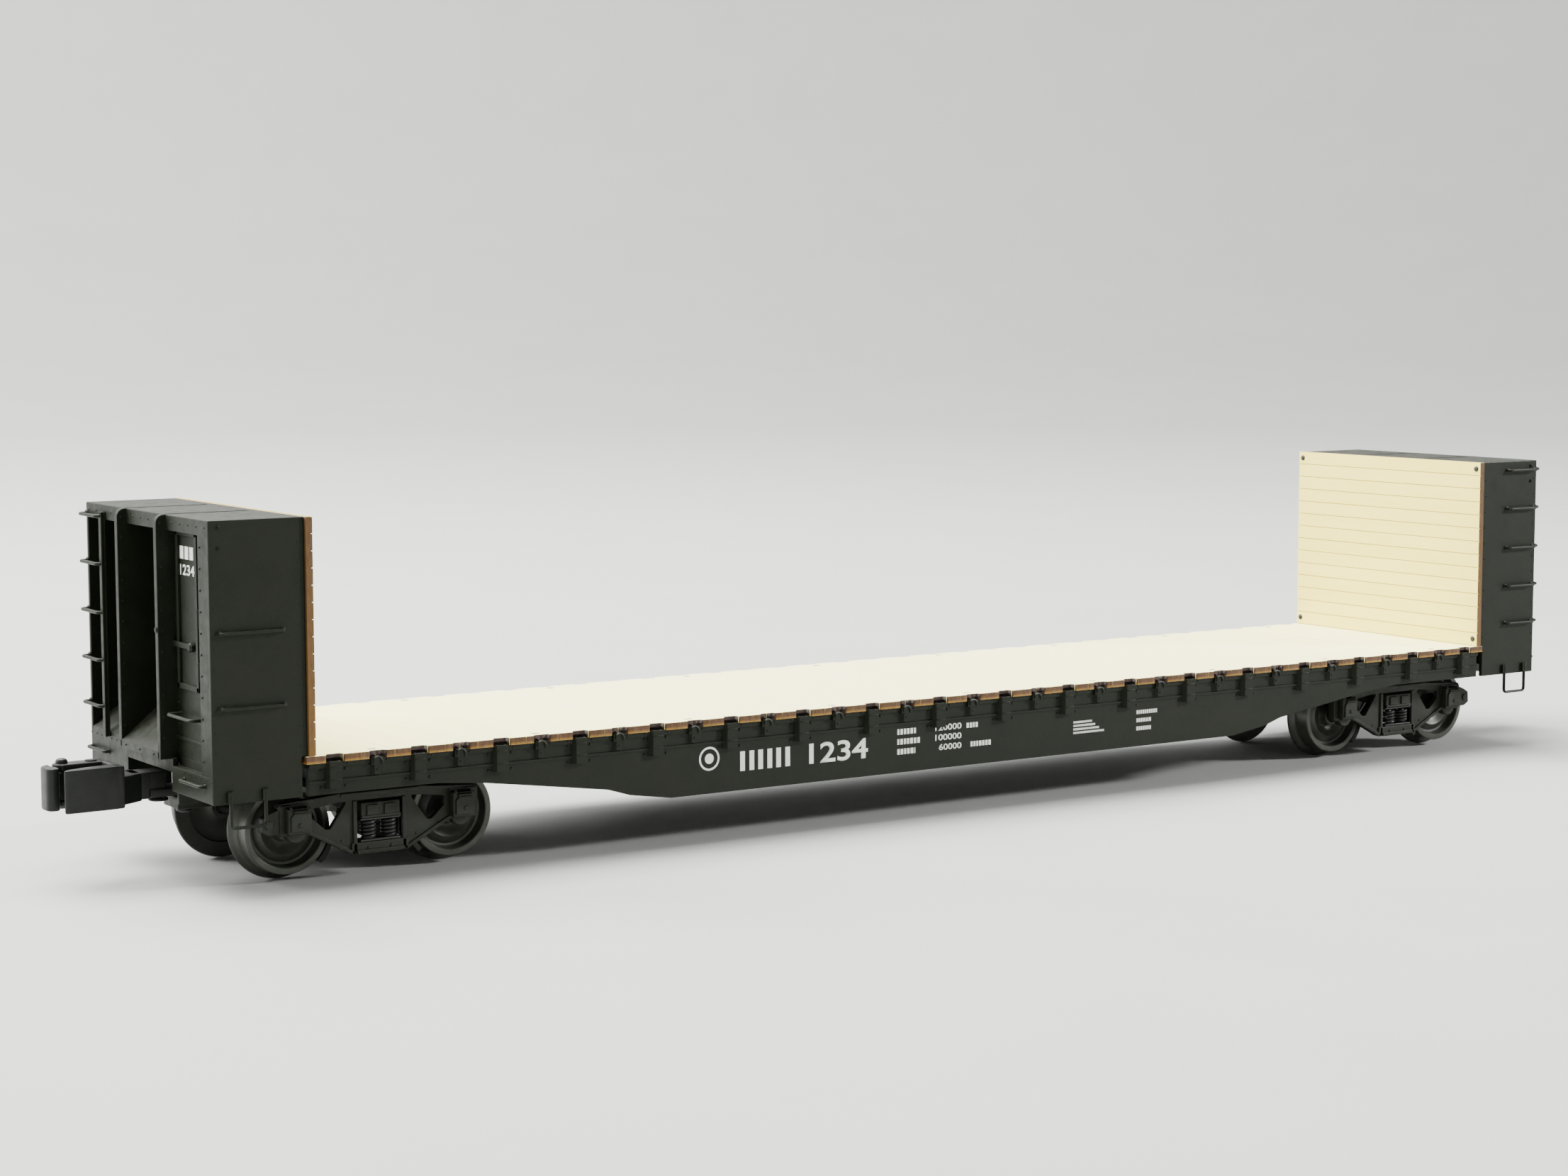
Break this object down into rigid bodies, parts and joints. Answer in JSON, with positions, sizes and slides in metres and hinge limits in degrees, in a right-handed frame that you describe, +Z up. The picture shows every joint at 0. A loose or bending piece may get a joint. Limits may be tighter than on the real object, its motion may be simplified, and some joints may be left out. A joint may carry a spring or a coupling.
{
  "type": "model bulkhead flat car",
  "caption": "Scale model bulkhead flat car: a fish-belly underframe with a wood deck between two tall end bulkheads, on swivelling sprung trucks with knuckle couplers.",
  "frame": {"origin": "under the middle of the car, level with the bottom of the wheel flanges", "axes": "+X along the car towards the end with the hand brake, +Y across the car, +Z up"},
  "size_m": [0.4222, 0.0702, 0.0768],
  "materials": {
    "car_paint": "satin black-green paint",
    "pale_wood": "bare pale wood with scorched cut edges",
    "truck_paint": "dull dark paint on castings",
    "wheel_metal": "blackened metal with a turned rim",
    "steel": "darkened steel",
    "coupler_metal": "dark cast metal"
  },
  "bodies": {
    "car": {"underframe": "car_paint", "wood_deck": "pale_wood", "bulkhead_right": "car_paint", "lining_right": "pale_wood", "end_ladder_right": "car_paint", "side_rung_right_1": "car_paint", "side_rung_right_2": "car_paint", "side_rung_right_3": "car_paint", "side_rung_right_4": "car_paint", "side_rung_right_5": "car_paint", "side_grab_right_1": "car_paint", "side_grab_right_2": "car_paint", "step_right_ladder": "car_paint", "step_right_grab": "car_paint", "kingpin_right": "steel", "bulkhead_left": "car_paint", "lining_left": "pale_wood", "end_ladder_left": "car_paint", "side_rung_left_1": "car_paint", "side_rung_left_2": "car_paint", "side_rung_left_3": "car_paint", "side_rung_left_4": "car_paint", "side_rung_left_5": "car_paint", "side_grab_left_1": "car_paint", "side_grab_left_2": "car_paint", "step_left_ladder": "car_paint", "step_left_grab": "car_paint", "kingpin_left": "steel", "brake_housing": "car_paint", "brake_gear": "truck_paint"},
    "brake_wheel": {"brake_wheel": "car_paint"},
    "truck_right": {"truck_bolster_right": "truck_paint", "side_frame_right_a": "truck_paint", "spring_group_right_a": "steel", "side_frame_right_b": "truck_paint", "spring_group_right_b": "steel", "coupler_head_right": "coupler_metal"},
    "wheelset_right_outer": {"axle_right_outer": "steel", "wheel_right_outer_a": "wheel_metal", "wheel_right_outer_b": "wheel_metal"},
    "wheelset_right_inner": {"axle_right_inner": "steel", "wheel_right_inner_a": "wheel_metal", "wheel_right_inner_b": "wheel_metal"},
    "knuckle_right": {"knuckle_right": "coupler_metal"},
    "release_right": {"release_pin_right": "steel"},
    "truck_left": {"truck_bolster_left": "truck_paint", "side_frame_left_a": "truck_paint", "spring_group_left_a": "steel", "side_frame_left_b": "truck_paint", "spring_group_left_b": "steel", "coupler_head_left": "coupler_metal"},
    "wheelset_left_outer": {"axle_left_outer": "steel", "wheel_left_outer_a": "wheel_metal", "wheel_left_outer_b": "wheel_metal"},
    "wheelset_left_inner": {"axle_left_inner": "steel", "wheel_left_inner_a": "wheel_metal", "wheel_left_inner_b": "wheel_metal"},
    "knuckle_left": {"knuckle_left": "coupler_metal"},
    "release_left": {"release_pin_left": "steel"}
  },
  "joints": [
    {"name": "brake_wheel_spin", "type": "hinge", "parent": "car", "child": "brake_wheel", "pos_m": [0.1966, 0, 0.05], "axis": [1, 0, 0], "continuous": true},
    {"name": "truck_swivel_right", "type": "hinge", "parent": "car", "child": "truck_right", "pos_m": [0.148, 0, 0.0202], "axis": [0, 0, 1], "range_deg": [-12, 12]},
    {"name": "axle_spin_right_outer", "type": "hinge", "parent": "truck_right", "child": "wheelset_right_outer", "pos_m": [0.16695, 0, 0.0111], "axis": [0, 1, 0], "continuous": true},
    {"name": "axle_spin_right_inner", "type": "hinge", "parent": "truck_right", "child": "wheelset_right_inner", "pos_m": [0.12905, 0, 0.0111], "axis": [0, 1, 0], "continuous": true},
    {"name": "knuckle_swing_right", "type": "hinge", "parent": "truck_right", "child": "knuckle_right", "pos_m": [0.2063, -0.0039, 0.0212], "axis": [0, 0, -1], "range_deg": [0, 38]},
    {"name": "release_slide_right", "type": "slide", "parent": "truck_right", "child": "release_right", "axis": [0, 0, -1], "range_m": [0, 0.0012], "stiffness_N_per_m": 30, "springref_m": -0.0005},
    {"name": "truck_swivel_left", "type": "hinge", "parent": "car", "child": "truck_left", "pos_m": [-0.148, 0, 0.0202], "axis": [0, 0, 1], "range_deg": [-12, 12]},
    {"name": "axle_spin_left_outer", "type": "hinge", "parent": "truck_left", "child": "wheelset_left_outer", "pos_m": [-0.16695, 0, 0.0111], "axis": [0, 1, 0], "continuous": true},
    {"name": "axle_spin_left_inner", "type": "hinge", "parent": "truck_left", "child": "wheelset_left_inner", "pos_m": [-0.12905, 0, 0.0111], "axis": [0, 1, 0], "continuous": true},
    {"name": "knuckle_swing_left", "type": "hinge", "parent": "truck_left", "child": "knuckle_left", "pos_m": [-0.2063, 0.0039, 0.0212], "axis": [0, 0, -1], "range_deg": [0, 38]},
    {"name": "release_slide_left", "type": "slide", "parent": "truck_left", "child": "release_left", "axis": [0, 0, -1], "range_m": [0, 0.0012], "stiffness_N_per_m": 30, "springref_m": -0.0005}
  ]
}
